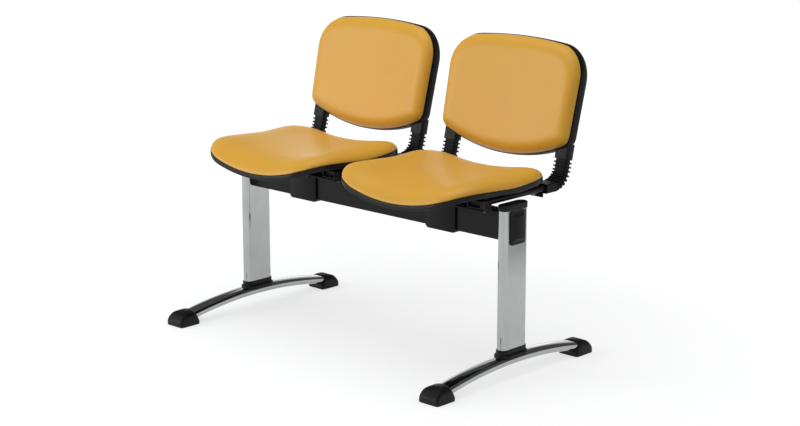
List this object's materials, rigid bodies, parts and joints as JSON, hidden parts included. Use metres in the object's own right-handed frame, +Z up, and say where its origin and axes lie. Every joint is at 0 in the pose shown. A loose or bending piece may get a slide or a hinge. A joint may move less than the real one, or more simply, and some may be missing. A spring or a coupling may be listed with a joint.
{
  "type": "beam seating",
  "caption": "Upholstered seats and backs joined by oval tubes to a steel beam, which stands on chromed columns with arched feet",
  "frame": {"origin": "on the floor, below the middle of the overall width and depth", "axes": "+X along the beam, to the right when seen from the front, -Y towards the front of the seats, +Z up"},
  "size_m": [0.998, 0.6228, 0.8067],
  "materials": {
    "amber_leather": "smooth upholstery leathercloth, soft sheen",
    "black_plastic": "injection moulded, fine satin grain",
    "black_boot": "moulded flexible boot, matt",
    "black_paint": "satin black powder coat",
    "chrome": "polished chromium plate",
    "zinc_steel": "bright zinc plated steel",
    "plywood": "moulded beech plywood, unfinished"
  },
  "bodies": {
    "root": {"back_board_left": "plywood", "back_board_right": "plywood", "back_board_screws": "zinc_steel", "back_pad_left": "amber_leather", "back_pad_right": "amber_leather", "back_shell_left": "black_plastic", "back_shell_right": "black_plastic", "beam_bolts_left": "zinc_steel", "beam_bolts_right": "zinc_steel", "beam_end_plate_left": "zinc_steel", "beam_end_plate_right": "zinc_steel", "beam_saddle_left": "black_paint", "beam_saddle_right": "black_paint", "beam_tube": "black_paint", "bolt_cover_left": "black_plastic", "bolt_cover_right": "black_plastic", "carrier_bolts": "zinc_steel", "carrier_nuts": "zinc_steel", "column_cap_left": "black_plastic", "column_cap_right": "black_plastic", "column_collar_left": "black_plastic", "column_collar_right": "black_plastic", "column_insert_left": "zinc_steel", "column_insert_right": "zinc_steel", "column_left": "chrome", "column_right": "chrome", "foot_bolts_left": "zinc_steel", "foot_bolts_right": "zinc_steel", "foot_tube_left": "chrome", "foot_tube_right": "chrome", "front_foot_cap_left": "black_plastic", "front_foot_cap_right": "black_plastic", "left_seat_boot_left": "black_boot", "left_seat_boot_right": "black_boot", "left_seat_tube_end_caps": "black_plastic", "left_seat_tube_left": "black_paint", "left_seat_tube_pads": "black_plastic", "left_seat_tube_right": "black_paint", "rear_foot_cap_left": "black_plastic", "rear_foot_cap_right": "black_plastic", "right_seat_boot_left": "black_boot", "right_seat_boot_right": "black_boot", "right_seat_tube_end_caps": "black_plastic", "right_seat_tube_left": "black_paint", "right_seat_tube_pads": "black_plastic", "right_seat_tube_right": "black_paint", "seat_board_inserts": "zinc_steel", "seat_board_left": "plywood", "seat_board_right": "plywood", "seat_carrier_left": "black_paint", "seat_carrier_right": "black_paint", "seat_cushion_left": "amber_leather", "seat_cushion_right": "amber_leather", "seat_pan_left": "black_plastic", "seat_pan_right": "black_plastic", "seat_screws": "zinc_steel", "socket_screws": "zinc_steel"}
  },
  "joints": []
}
